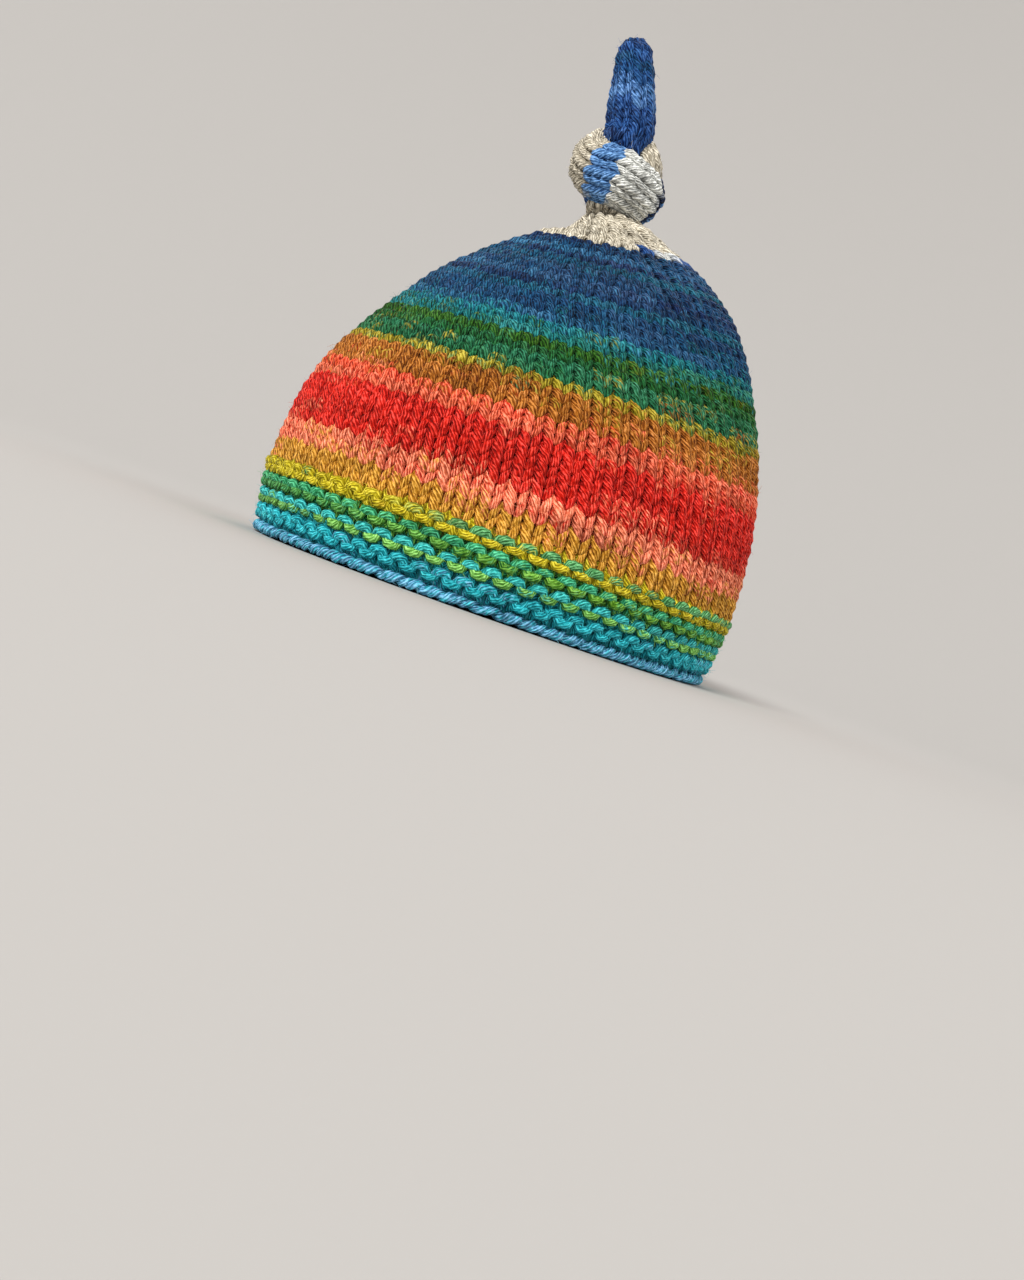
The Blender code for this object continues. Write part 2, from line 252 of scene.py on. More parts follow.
# The colour of the yarn along its length, in rounds. It shifts evenly from one mark to the next.
YARN = [
    # round, colour
    (0.00, "sky"), (0.97, "sky"),
    (1.03, "teal"), (2.60, "teal"),
    (3.10, "lagoon"), (3.95, "lagoon"),
    (4.10, "lime"), (4.60, "lime"),
    (4.95, "moss"),
    (5.20, "sea"),
    (6.00, "moss"),
    (6.30, "grass"),
    (6.60, "moss"),
    (7.05, "mint"), (7.40, "mint"),
    (7.46, "yellow"), (8.95, "yellow"),
    (9.15, "gold"), (10.95, "gold"),
    (11.05, "salmon"), (12.50, "salmon"),
    (13.30, "red"), (17.60, "red"),
    (18.10, "coral"),
    (18.90, "salmon"),
    (19.60, "coral"),
    (20.10, "copper"), (22.80, "copper"),
    (23.05, "olive"), (23.90, "olive"),
    (24.10, "jade"),
    (24.80, "leaf"),
    (25.40, "jade"),
    (25.90, "leaf"), (26.50, "leaf"),
    (26.80, "fern"), (27.60, "fern"),
    (27.75, "dark_olive"), (27.90, "dark_olive"),
    (28.10, "jade"),
    (28.60, "turquoise"), (29.60, "turquoise"),
    (30.20, "blue"),
    (30.90, "steel"),
    (31.20, "blue"),
    (31.90, "navy"),
    (32.60, "blue"),
    (33.10, "dusk"),
    (33.80, "blue"),
    (34.70, "navy"), (35.30, "navy"),
    (35.70, "steel"),
    (36.00, "blue"),
    (37.20, "navy"),
    (38.10, "dusk"),
    (38.70, "blue"),
    (39.40, "navy"),
    (40.30, "blue"),
    (40.70, "steel"),
    (41.00, "blue"),
    (42.90, "navy"),
    (43.10, "denim"), (43.24, "denim"),
    (43.26, "white"), (43.29, "white"),
    (43.31, "denim"), (43.34, "denim"),
    (43.36, "cream"),
]

# Odd fibres take their colour from up to this many rounds away. They stay on their own side of the
# brim's end, and on the tube they start where it turns blue for good.
FLECK_REACH = {"brim": 0.8, "crown": 2.4, "tube": 2.0}
BRIM_END = 9.0
CROWN_FLECKS = (9.3, 42.9)
TUBE_FLECKS_FROM = 44
TUBE_FLECKS_LEAST = 43.6

# The colour of the yarn along the tube, in rounds from the stem's top
TUBE_YARN = [
    # round, colour
    (0.0, "cream"), (24.9, "cream"),
    (25.1, "cornflower"), (27.9, "cornflower"),
    (28.1, "white"), (33.2, "white"),
    (33.4, "navy"), (35.0, "navy"),
    (35.4, "cornflower"), (38.0, "cornflower"),
    (38.2, "white"), (41.2, "white"),
    (41.4, "cornflower"),
    (43.6, "denim"), (46.0, "denim"),
    (46.6, "blue"),
    (47.6, "denim"),
    (49.2, "cornflower"),
    (49.8, "denim"),
    (51.4, "navy"),
    (52.2, "denim"), (54.6, "denim"),
    (55.4, "navy"),
    (56.0, "denim"),
    (57.6, "cornflower"),
    (58.4, "denim"),
    (60.2, "blue"),
    (61.0, "denim"),
    (62.6, "navy"),
    (63.4, "denim"),
]


def smooth_step(value):
    clipped = np.clip(value, 0.0, 1.0)
    return clipped * clipped * (3 - 2 * clipped)


def unit(vectors):
    length = np.linalg.norm(vectors, axis=-1, keepdims=True)
    return vectors / np.maximum(length, 1e-12)


def circle(count):
    """Evenly spaced turns, once round."""
    return np.arange(count) / count * 2 * math.pi


def read_table(table, column, spot):
    """The column's values where the first column is spot, on a smooth curve through the rows."""
    marks = np.array([row[0] for row in table], float)
    values = np.array([row[column] for row in table], float)
    slopes = np.empty_like(values)
    slopes[1:-1] = (values[2:] - values[:-2]) / (marks[2:] - marks[:-2])
    slopes[0] = (values[1] - values[0]) / (marks[1] - marks[0])
    slopes[-1] = (values[-1] - values[-2]) / (marks[-1] - marks[-2])
    spot = np.clip(spot, marks[0], marks[-1])
    low = np.clip(np.searchsorted(marks, spot, side="right") - 1, 0, len(marks) - 2)
    span = marks[low + 1] - marks[low]
    t = (spot - marks[low]) / span
    from_low = (2 * t**3 - 3 * t**2 + 1) * values[low] + (t**3 - 2 * t**2 + t) * span * slopes[low]
    to_high = (3 * t**2 - 2 * t**3) * values[low + 1] + (t**3 - t**2) * span * slopes[low + 1]
    return from_low + to_high


def gathers(share, turn):
    growth = smooth_step((share - GATHER_START) / (1 - GATHER_START))
    return GATHER_RELIEF * growth * np.cos(GATHER_COUNT * turn)


def brim_point(turn, rise):
    """A point of the brim's outside, over its ridges."""
    girth = read_table(BRIM_SECTIONS, 1, rise / BRIM_HEIGHT)
    fullness = 1 + BACK_FULLNESS * np.sin(turn)
    x = HAT_WIDTH / 2 * girth * np.cos(turn) * fullness
    y = HAT_LENGTH / 2 * girth * np.sin(turn)
    return np.stack([x, y, rise + 0 * turn], axis=-1)


def crown_share_point(turn, share):
    girth = read_table(CROWN_SECTIONS, 1, share)
    half_width = (HAT_WIDTH / 2 - BRIM_PROUD) * girth
    half_length = (HAT_LENGTH / 2 - BRIM_PROUD) * girth
    roundness = smooth_step((share - ROUND_START) / (1 - ROUND_START))
    half_length = half_length + (half_width - half_length) * roundness
    fold = gathers(share, turn)
    fullness = 1 + BACK_FULLNESS * np.sin(turn)
    across = (half_width + fold) * np.cos(turn) * fullness
    back = (half_length + fold) * np.sin(turn)
    tilt = TOP_TILT * read_table(CROWN_SECTIONS, 3, share)
    y = read_table(CROWN_SECTIONS, 2, share) * TOP_SETBACK + back * np.cos(tilt)
    z = share * BODY_HEIGHT + back * np.sin(tilt)
    return np.stack([across, y, z], axis=-1)


def measured_rises(point, shares, start):
    """The length along the knit up to each share, as a mean over the turns."""
    turns = circle(48)
    rings = np.stack([point(turns, np.full_like(turns, share)) for share in shares])
    steps = np.linalg.norm(np.diff(rings, axis=0), axis=-1).mean(axis=1)
    return start + np.concatenate([[0.0], np.cumsum(steps)])


CROWN_SHARES = np.linspace(BRIM_HEIGHT / BODY_HEIGHT, 1.0, 200)
CROWN_RISES = measured_rises(crown_share_point, CROWN_SHARES, BRIM_HEIGHT)
CROWN_TOP = CROWN_RISES[-1]


def crown_point(turn, rise):
    """A point of the crown's outside. Below the brim's top it goes straight on down."""
    share = np.interp(rise, CROWN_RISES, CROWN_SHARES)
    point = crown_share_point(turn, share)
    point[..., 2] += np.minimum(rise - BRIM_HEIGHT, 0.0)
    return point


BODY_TOP = Vector((0.0, TOP_SETBACK, BODY_HEIGHT))
VIEW_TURN = Matrix.Rotation(VIEW_FROM, 3, "Z")
KNOT_MATRIX = (VIEW_TURN @ Matrix.Rotation(-KNOT_LEAN, 3, "Y")).to_4x4()
KNOT_MATRIX.translation = BODY_TOP - VIEW_TURN.col[0] * STEM_SHIFT + Vector((0, 0, STEM_HEIGHT))
STEM_MARKS = np.linspace(0, 1, 60)


def stem_frames():
    """Axes at the stem's marks, which turn from the crown's top to the knot."""
    foot = Matrix.Rotation(TOP_TILT, 3, "X") @ VIEW_TURN
    way = KNOT_MATRIX.translation - BODY_TOP
    frames = []
    for share in STEM_MARKS:
        bend = float(smooth_step(share))
        turned = foot.to_quaternion().slerp(KNOT_MATRIX.to_quaternion(), bend).to_matrix()
        aside = float(read_table(STEM_SECTIONS, 2, share))
        middle = BODY_TOP + Vector((way.x * aside, way.y * aside, way.z * share))
        frames.append(np.array([middle, turned.col[0], turned.col[1], turned.col[2]]))
    return np.array(frames)


STEM_FRAMES = stem_frames()


def at_marks(spot, marks, values):
    """Each row of numbers in values, read where marks is spot."""
    flat = values.reshape(len(marks), -1)
    read = [np.interp(spot, marks, flat[:, i]) for i in range(flat.shape[1])]
    return np.stack(read, axis=-1).reshape(np.shape(spot) + values.shape[1:])


def stem_share_point(turn, share):
    frames = at_marks(share, STEM_MARKS, STEM_FRAMES)
    foot_radius = (HAT_WIDTH / 2 - BRIM_PROUD) * CROWN_SECTIONS[-1][1]
    radius = foot_radius + (TUBE_RADIUS - foot_radius) * read_table(STEM_SECTIONS, 1, share)
    reach = radius + gathers(1.0, turn) * (1 - smooth_step(share))
    local = turn - VIEW_FROM
    across = frames[..., 1, :] * (reach * np.cos(local))[..., None]
    back = frames[..., 2, :] * (reach * np.sin(local))[..., None]
    return frames[..., 0, :] + across + back


STEM_RISES = measured_rises(stem_share_point, STEM_MARKS, CROWN_TOP)
STEM_TOP = STEM_RISES[-1]


def stem_point(turn, rise):
    """A point of the stem's outside. Below its foot it goes on as the crown."""
    share = np.interp(rise, STEM_RISES, STEM_MARKS)
    on_stem = stem_share_point(turn, share)
    below = crown_point(turn, np.minimum(rise, CROWN_TOP))
    return np.where((rise < CROWN_TOP)[..., None], below, on_stem)


def route_values(spots):
    """The columns of KNOT_ROUTE on a smooth curve, where whole numbers are its rows."""
    rows = np.array(KNOT_ROUTE)
    last = len(rows) - 1
    low = np.clip(spots.astype(int), 0, last - 1)
    t = (spots - low)[:, None]
    before, start, end, after = [rows[np.clip(low + i, 0, last)] for i in (-1, 0, 1, 2)]
    bend = 2 * before - 5 * start + 4 * end - after
    twist = 3 * start - before - 3 * end + after
    return start + 0.5 * ((end - before) * t + bend * t**2 + twist * t**3)


def tube_sections():
    """The tube from the stem's top to the end of the tip: where it is, its axes and its size.

    Each section is its middle, its two radial axes, the direction that it is pressed in, and a row
    with its radius and how flat it is.
    """
    scale = np.array([KNOT_HALF_WIDTH, KNOT_HALF_WIDTH, KNOT_HEIGHT])
    count = 400
    values = route_values(np.linspace(0, len(KNOT_ROUTE) - 1, count))
    middles = values[:, :3] * scale
    radii = values[:, 3] * TUBE_RADIUS
    flats = values[:, 4]
    keep = (middles[:, 2] < KNOT_HEIGHT) | (np.arange(count) < count / 2)
    middles, radii, flats = middles[keep], radii[keep], flats[keep]

    # The free tip, straight up with a slight slope, rounded at its end
    straight = TIP_LENGTH - TIP_END_RADIUS
    rises = np.linspace(0.0, 1.0, 60)[1:]
    tip_radii = radii[-1] + (TIP_END_RADIUS - radii[-1]) * rises**TIP_TAPER
    tip_rises = KNOT_HEIGHT + straight * rises
    caps = np.linspace(0.0, math.pi / 2, 40)[1:-1]
    tip_radii = np.concatenate([tip_radii, TIP_END_RADIUS * np.cos(caps)])
    tip_rises = np.concatenate([tip_rises, KNOT_HEIGHT + straight + TIP_END_RADIUS * np.sin(caps)])
    shift = np.minimum(tip_rises - KNOT_HEIGHT, straight) * TIP_SLOPE
    tip = np.stack([middles[-1, 0] + shift, middles[-1, 1] + 0 * shift, tip_rises], axis=-1)
    middles = np.concatenate([middles, tip])
    radii = np.concatenate([radii, tip_radii])
    flats = np.concatenate([flats, np.zeros(len(tip))])

    core = np.array(KNOT_CORE) * scale
    side = np.array([1.0, 0.0, 0.0])
    sections = []
    for i, middle in enumerate(middles):
        along = unit(middles[min(i + 1, len(middles) - 1)] - middles[max(i - 1, 0)])
        side = unit(side - along * side.dot(along))
        press = middle - core
        press = unit(press - along * press.dot(along))
        row = [radii[i], flats[i], 0.0]
        sections.append([middle, side, np.cross(along, side), press, row])
    return np.array(sections)


TUBE_SECTIONS = tube_sections()


def tube_reach(sections, turn):
    """The way from the tube's middle to its skin."""
    _, side, up, press = (sections[..., i, :] for i in range(4))
    radius, flat = sections[..., 4, 0], sections[..., 4, 1]
    reach = side * np.cos(turn)[..., None] + up * np.sin(turn)[..., None]
    reach = reach * radius[..., None]
    pressed = (reach * press).sum(axis=-1) * flat
    return reach - press * pressed[..., None]


def tube_rises():
    """The length up to each section along the outer side of the tube's bends."""
    turns = circle(24)
    sections = TUBE_SECTIONS[:, None]
    skin = sections[..., 0, :] + tube_reach(sections, turns[None])
    steps = np.linalg.norm(np.diff(skin, axis=0), axis=-1).max(axis=1)
    return np.concatenate([[0.0], np.cumsum(steps)])


TUBE_RISES = tube_rises()
TUBE_LENGTH = float(TUBE_RISES[-1])
TUBE_START = float(TUBE_RISES[np.argmax(TUBE_SECTIONS[:, 0, 2] > 0.0)])


def tube_point(turn, rise):
    """A point of the tube's outside, through the knot and up the tip."""
    sections = at_marks(rise, TUBE_RISES, TUBE_SECTIONS)
    matrix = np.array(KNOT_MATRIX)
    local = sections[..., 0, :] + tube_reach(sections, turn)
    return local @ matrix[:3, :3].T + matrix[:3, 3]


def tube_out(turn, rise):
    """The way out of the tube's skin."""
    sections = at_marks(rise, TUBE_RISES, TUBE_SECTIONS)
    reach = unit(tube_reach(sections, turn))
    narrowing = (rise - TUBE_LENGTH + TIP_END_RADIUS * math.pi / 2) / TIP_END_RADIUS
    end = np.clip(narrowing, 0.0, math.pi / 2)[..., None]
    along = np.cross(sections[..., 1, :], sections[..., 2, :])
    way = reach * np.cos(end) + along * np.sin(end)
    return way @ np.array(KNOT_MATRIX)[:3, :3].T


def with_normals(point, turn, rise):
    """Points of a surface and the directions out of it."""
    if point is tube_point:
        return point(turn, rise), tube_out(turn, rise)
    small_turn, small_rise = 0.01, 0.0004
    around = point(turn + small_turn, rise) - point(turn - small_turn, rise)
    upwards = point(turn, rise + small_rise) - point(turn, rise - small_rise)
    return point(turn, rise), unit(np.cross(around, upwards))


def linear(colour):
    """An sRGB colour from 0 to 255, as linear light."""
    value = np.array(colour, float) / 255
    return np.where(value <= 0.04045, value / 12.92, ((value + 0.055) / 1.055) ** 2.4)


def yarn_colour(spot, yarn):
    """The yarn's colour at these rounds."""
    marks = [mark for mark, name in yarn]
    return at_marks(spot, marks, np.array([linear(COLOURS[name]) for mark, name in yarn]))


def round_spot(number, turn):
    """Where the yarn is, in rounds, at this turn of a round. It runs to the left."""
    return number + ((SEAM_TURN - turn) / (2 * math.pi)) % 1.0


def lumps(rng, count, stitches):
    """A smooth random curve through count places, from -1 to 1, which ends as it starts.

    It takes a new value every so many stitches.
    """
    marks = max(int(count / (LOOP_STEPS * stitches)), 4)
    values = rng.uniform(-1, 1, marks)
    spots = np.arange(count) / count * marks
    low = spots.astype(int)
    t = smooth_step(spots - low)
    return values[low % marks] * (1 - t) + values[(low + 1) % marks] * t


def fleck_spot(spot, rng, yarn):
    """Where along the yarn the colour of the odd fibres is met as the main colour."""
    far = lumps(rng, len(spot), 1.5)
    if yarn is TUBE_YARN:
        moved = np.maximum(spot + FLECK_REACH["tube"] * far, TUBE_FLECKS_LEAST)
        return np.where(spot > TUBE_FLECKS_FROM, moved, spot)
    if spot.mean() < BRIM_END:
        return spot + FLECK_REACH["brim"] * far
    if spot.mean() < CROWN_FLECKS[1]:
        return np.clip(spot + FLECK_REACH["crown"] * far, *CROWN_FLECKS)
    return spot


def dyed(colours, rng, steps):
    """The colours, unevenly taken up by the wool: paler in one place and deeper in the next."""
    uptake = 0.6 * lumps(rng, steps, 2.5) + 0.4 * lumps(rng, steps, 0.7)
    pale = np.clip(uptake, 0, 1)[:, None]
    deep = 1 - np.clip(-uptake, 0, 1)[:, None] * 0.40
    return (colours * (1 + 0.30 * pale) + 0.03 * pale) * deep


class Strands:
    """Yarns gathered for one mesh: rings of points round each yarn's middle line."""

    def __init__(self):
        self.points = []
        self.colours = []
        self.flecks = []
        self.lengths = []
        self.girths = []

    def add(self, middles, outwards, widths, depths, colours, flecks, lift):
        """A closed yarn. Outwards is the way out of the cloth, and widths lie along the cloth."""
        along = unit(np.roll(middles, -1, axis=0) - np.roll(middles, 1, axis=0))
        out = outwards - along * (outwards * along).sum(axis=1, keepdims=True)
        # Known fault: past a surface's last rise outwards is 0, and the points get no place
        out /= np.linalg.norm(out, axis=1, keepdims=True)
        across = np.cross(along, out)
        angles = circle(YARN_SIDES) - math.pi / 2
        wide = across[:, None] * (widths[:, None] / 2 * np.cos(angles))[..., None]
        deep = out[:, None] * (depths[:, None] / 2 * np.sin(angles))[..., None]
        self.points.append(middles[:, None] + wide + deep)
        # Painted shade goes into both sets of colours, in the knit's hollows
        self.colours.append(self.shaded(colours, angles, lift))
        self.flecks.append(self.shaded(flecks, angles, lift))
        steps = np.linalg.norm(np.roll(middles, -1, axis=0) - middles, axis=1)
        self.lengths.append(np.concatenate([[0.0], np.cumsum(steps)]))
        self.girths.append(math.pi * (widths.mean() + depths.mean()) / 2)

    def shaded(self, colours, angles, lift):
        """The colours, deepened by painted shade in the knit's hollows: where the yarn dives, and
        at its sides.
        """
        dive = 0.50 + 0.50 * smooth_step((lift + 1) / 1.7)
        side = 0.50 + 0.50 * np.sqrt(np.clip(np.sin(angles), 0, 1))
        shade = (dive[:, None] * side)[..., None]
        return colours[:, None] ** (1 + HOLLOW_SHADE_DEEPENING * (1 - shade)) * shade**HOLLOW_SHADE_DARKENING

    def mesh(self, name):
        """One mesh of all the yarns, with their colours and two sets of coordinates."""
        sides = YARN_SIDES
        side = np.arange(sides)
        following = (side + 1) % sides
        rung = np.stack([side, side, side + 1, side + 1], -1)
        counts = [len(points) for points in self.points]
        starts = np.concatenate([[0], np.cumsum(counts)])[:-1]
        vertices = np.concatenate([points.reshape(-1, 3) for points in self.points])
        corners, yarn_uv, bake_uv = [], [], []
        columns = int(math.ceil(math.sqrt(sum(counts) * 0.55 / LOOP_STEPS)))
        patch = 0
        for start, count, lengths, girth in zip(starts, counts, self.lengths, self.girths):
            ring = np.arange(count)
            here = (start + ring)[:, None] * sides
            after = (start + (ring + 1) % count)[:, None] * sides
            quads = np.stack([here + side, after + side, after + following, here + following], -1)
            corners.append(quads.reshape(-1, 4))
            u = np.stack([lengths[:-1], lengths[1:], lengths[1:], lengths[:-1]], -1)[:, None]
            u, v = np.broadcast_arrays(u, rung[None] / sides * girth)
            yarn_uv.append(np.stack([u, v], -1).reshape(-1, 2) / MM)

            # For baking, each stitch's length of yarn is a patch of a grid
            number = patch + ring // LOOP_STEPS
            step = (ring % LOOP_STEPS)[:, None] + np.array([0, 1, 1, 0])
            u = (number % columns)[:, None] + 0.04 + 0.92 * step / LOOP_STEPS
            v = (number // columns)[:, None, None] + 0.06 + 0.88 * rung[None] / sides
            u, v = np.broadcast_arrays(u[:, None], v)
            bake_uv.append(np.stack([u, v], -1).reshape(-1, 2))
            patch += -(-count // LOOP_STEPS)
        rows = -(-patch // columns)
        bake = np.concatenate(bake_uv) / np.array([columns, rows])
        data = mesh_from(name, vertices, np.concatenate(corners))
        add_uv(data, "OFBake", bake)
        add_uv(data, "Yarn", np.concatenate(yarn_uv))
        # These colour attributes hold painted shade in the knit's hollows
        add_colours(data, "yarn_colour", np.concatenate(self.colours).reshape(-1, 3))
        add_colours(data, "fleck_colour", np.concatenate(self.flecks).reshape(-1, 3))
        return data


class Fuzz:
    """Single fibres that stand out of the yarns gathered in these strands."""

    SIDES = 4
    RINGS = 3

    def __init__(self, gathered, rng, count):
        points = np.concatenate([points for strands in gathered for points in strands.points])
        colours = np.concatenate([tints for strands in gathered for tints in strands.colours])
        top = YARN_SIDES // 2
        # Fibres stand where painted shade leaves the yarn light, and take its shaded colour, made
        # paler
        bright = colours[:, top].sum(axis=1)
        outer = np.flatnonzero(bright > np.median(bright) * 0.8)
        chosen = rng.choice(outer[outer < len(points) - 1], count)
        self.roots = points[chosen, rng.integers(top - 1, top + 2, count)]
        self.colours = np.clip(colours[chosen, top] * 1.25 + 0.03, 0, 0.9)
        self.outs = unit(points[chosen, top] - points[chosen, 0])
        along = unit(points[chosen + 1, 0] - points[chosen, 0])
        across = np.cross(along, self.outs)
        turn = rng.uniform(0, 2 * math.pi, (count, 1))
        self.tangents = along * np.cos(turn) + across * np.sin(turn)
        self.rng = rng

    def mesh(self, name):
        rng, count = self.rng, len(self.roots)
        first = unit(self.outs * rng.uniform(0.1, 0.9, (count, 1)) + self.tangents)
        bend = rng.uniform(-0.8, 0.8, (count, 3)) + self.outs * rng.uniform(-0.5, 0.2, (count, 1))
        second = unit(first + bend)
        length = rng.uniform(*FUZZ_LENGTH, (count, 1)) / 2
        start = self.roots - self.outs * FUZZ_ROOT
        middle = start + first * length
        end = middle + second * length
        middles = np.stack([start, middle, end], axis=1)
        middles[..., 2] = np.maximum(middles[..., 2], FUZZ_RADIUS * 2)
        ways = np.stack([first, unit(first + second), second], axis=1)
        helper = np.where(np.abs(ways[..., 2:]) < 0.8, [[[0.0, 0.0, 1.0]]], [[[1.0, 0.0, 0.0]]])
        side = unit(np.cross(ways, helper))
        other = np.cross(ways, side)
        angles = circle(self.SIDES)
        radii = FUZZ_RADIUS * np.array([1.0, 0.9, 0.5])[None, :, None, None]
        rings = middles[:, :, None] + radii * (
            side[:, :, None] * np.cos(angles)[:, None] + other[:, :, None] * np.sin(angles)[:, None]
        )
        data = mesh_from(name, rings.reshape(-1, 3), self.quads(count))
        add_uv(data, "OFBake", self.patches(count))
        each = self.SIDES * self.RINGS
        add_colours(data, "yarn_colour", np.repeat(self.colours, each, axis=0))
        return data

    def quads(self, count):
        """The corners of every fibre's sides and of its two ends."""
        index = np.arange(self.RINGS * self.SIDES).reshape(self.RINGS, self.SIDES)
        one = np.concatenate([ring_quads(index), index[:1, ::-1], index[-1:]])
        return (np.arange(count)[:, None, None] * index.size + one).reshape(-1, 4)

    def patches(self, count):
        """A place for each fibre in a grid, for baking."""
        boxes = [
            (0.1 + 0.2 * side, 0.1 + 0.3 * ring, 0.2, 0.3)
            for ring in range(self.RINGS - 1) for side in range(self.SIDES)
        ]
        boxes += [(0.1, 0.75, 0.3, 0.15), (0.6, 0.75, 0.3, 0.15)]
        corners = ((0, 0), (1, 0), (1, 1), (0, 1))
        one = [(u + wide * i, v + high * j) for u, v, wide, high in boxes for i, j in corners]
        columns = int(math.ceil(math.sqrt(count)))
        rows = -(-count // columns)
        cell = np.stack([np.arange(count) % columns, np.arange(count) // columns], -1)
        return ((cell[:, None] + np.array(one)[None]) / [columns, rows]).reshape(-1, 2)


def ring_quads(index):
    """The faces between the rows of an index, each row a closed ring of points."""
    after = np.roll(index, -1, axis=1)
    return np.stack([index[:-1], after[:-1], after[1:], index[1:]], -1).reshape(-1, 4)


def mesh_from(name, vertices, quads):
    data = bpy.data.meshes.new(name)
    data.vertices.add(len(vertices))
    data.vertices.foreach_set("co", vertices.astype(np.float32).ravel())
    data.loops.add(quads.size)
    data.loops.foreach_set("vertex_index", quads.astype(np.int32).ravel())
    data.polygons.add(len(quads))
    starts = np.arange(len(quads), dtype=np.int32) * quads.shape[1]
    data.polygons.foreach_set("loop_start", starts)
    data.update(calc_edges=True)
    data.shade_smooth()
    return data


def add_uv(data, name, corners):
    layer = data.uv_layers.new(name=name)
    layer.uv.foreach_set("vector", corners.astype(np.float32).ravel())


def add_colours(data, name, colours):
    attribute = data.color_attributes.new(name, "FLOAT_COLOR", "POINT")
    full = np.concatenate([colours, np.ones((len(colours), 1))], axis=1)
    attribute.data.foreach_set("color", full.astype(np.float32).ravel())


GATHERED = {node: [] for node in FUZZ}  # the strands that the fibres stand on


def add_object(data):
    made = bpy.data.objects.new(data.name, data)
    bpy.context.scene.collection.objects.link(made)
    return made


def place(data, node, material):
    """Adds a piece that stands for this solid."""
    piece = add_object(data)
    data.materials.append(material)
    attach(piece, BODY)
    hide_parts(node)


def wrapped(turns):
    """The turns of a round's stitches, with the last one before them and the first one after."""
    full = 2 * math.pi
    return np.concatenate([[turns[-1] - full], turns, [turns[0] + full]])


def loop_round(strands, rng, surface, kind, rise, height, lower, upper, number, yarn=YARN):
    """One round of loops.

    Lower and upper are each stitch's turn at the bottom and at the top of its loop, height is the
    round's height, and number is the round's place along the yarn.
    """
    half_height, sway, skew, spread, forward, depth, yarn_width, yarn_depth = LOOPS[kind]
    count = len(upper)
    steps = count * LOOP_STEPS
    t = np.arange(steps) % LOOP_STEPS / LOOP_STEPS * 2 * math.pi
    spots = np.arange(steps) / LOOP_STEPS

    def turn_at(turns):
        return np.interp(spots, np.arange(-1, count + 1) + 0.5, wrapped(turns))

    def each(amount):
        """A random value for each stitch, smooth along the yarn."""
        return lumps(rng, steps, 0.8) * amount

    reach = (1 - np.cos(t)) / 2
    turn = turn_at(lower) * (1 - reach) + turn_at(upper) * reach
    stitch = 2 * math.pi / count
    bend = sway * (np.sin(2 * t) + 0.17 * np.sin(4 * t))
    bend = bend * (1 + skew * np.sin(t) + each(UNEVEN_SWAY))
    turn = turn + stitch * (bend - spread * np.sin(t) + each(UNEVEN_PLACE))
    level = rise - half_height * height * np.cos(t) * (1 + each(UNEVEN_HEIGHT))
    level = level + each(UNEVEN_ROUND) * height
    if kind in ("plain", "tube"):
        foot = forward * np.cos(t) * np.sin(t) ** 2
        lift = 1 - 2 * np.abs(np.cos(t)) ** 3 + foot + 0.2 * np.sin(t)
    elif kind == "garter_knit":
        lift = -np.cos(t)
    else:
        lift = np.cos(t)
    ring = surface(turn, np.full(steps, rise))
    stitch_width = np.linalg.norm(np.roll(ring, -1, axis=0) - ring, axis=1).sum() / count
    squeeze = np.clip(stitch_width / STITCH_WIDTH, LEAST_SQUEEZE, 1.0)
    swell = 1 + each(UNEVEN_YARN)
    points, normals = with_normals(surface, turn, level)
    lift_off = lift * depth - (yarn_depth / 2 + depth) + each(UNEVEN_FACE)
    points = points + normals * lift_off[:, None]
    widths = yarn_width * squeeze * swell
    if kind in ("plain", "tube"):
        widths = widths * (1 + 0.07 * np.sin(t))
    depths = yarn_depth * swell
    spot = round_spot(number, turn)
    colours = dyed(yarn_colour(spot, yarn), rng, steps)
    flecks = dyed(yarn_colour(fleck_spot(spot, rng, yarn), yarn), rng, steps)
    strands.add(points, normals, widths, depths, colours, flecks, lift)


def lean_at(rise):
    return -np.radians(np.interp(rise, *zip(*WALE_LEAN)))


def even_turns(count, rise):
    return 2 * math.pi * (np.arange(count) + 0.5) / count + lean_at(rise)


def parents(count, below):
    """For each stitch of a round, the one or two stitches of the round below that it rises from."""
    if count == below:
        return np.stack([np.arange(count)] * 2, axis=1)
    sectors = below - count
    lower, upper = below // sectors, count // sectors
    found = []
    for i in range(count):
        sector, spot = divmod(i, upper)
        first = sector * lower + spot
        found.append((first, first + (1 if spot == upper - 1 else 0)))
    return np.array(found)


def settle(turns, passes=60):
    """Evens out the stitches where rounds decrease, and keeps each wale as straight as it can."""
    links = [parents(len(turns[j]), len(turns[j - 1])) for j in range(1, len(turns))]
    for _ in range(passes):
        for j in range(1, len(turns)):
            around = wrapped(turns[j])
            below = turns[j - 1][links[j - 1]].mean(axis=1)
            lean = lean_at(ROUND_RISES[j]) - lean_at(ROUND_RISES[j - 1])
            parts = [(around[:-2] + around[2:]) / 2, below + lean]
            if j + 1 < len(turns):
                above, shares = np.zeros((2, len(turns[j])))
                np.add.at(above, links[j].ravel(), np.repeat(turns[j + 1], 2))
                np.add.at(shares, links[j].ravel(), 1)
                lean = lean_at(ROUND_RISES[j + 1]) - lean_at(ROUND_RISES[j])
                parts.append(above / shares - lean)
            turns[j] = sum(parts) / len(parts)
    return links


CROWN_ROUND = (CROWN_TOP - BRIM_HEIGHT) / BODY_ROUNDS
STEM_ROUND = (STEM_TOP - CROWN_TOP) / len(STEM_ROUNDS)
ROUND_RISES = [BRIM_HEIGHT + CROWN_ROUND * (i + 0.5) for i in range(BODY_ROUNDS)]
ROUND_RISES += [CROWN_TOP + STEM_ROUND * (i + 0.5) for i in range(len(STEM_ROUNDS))]


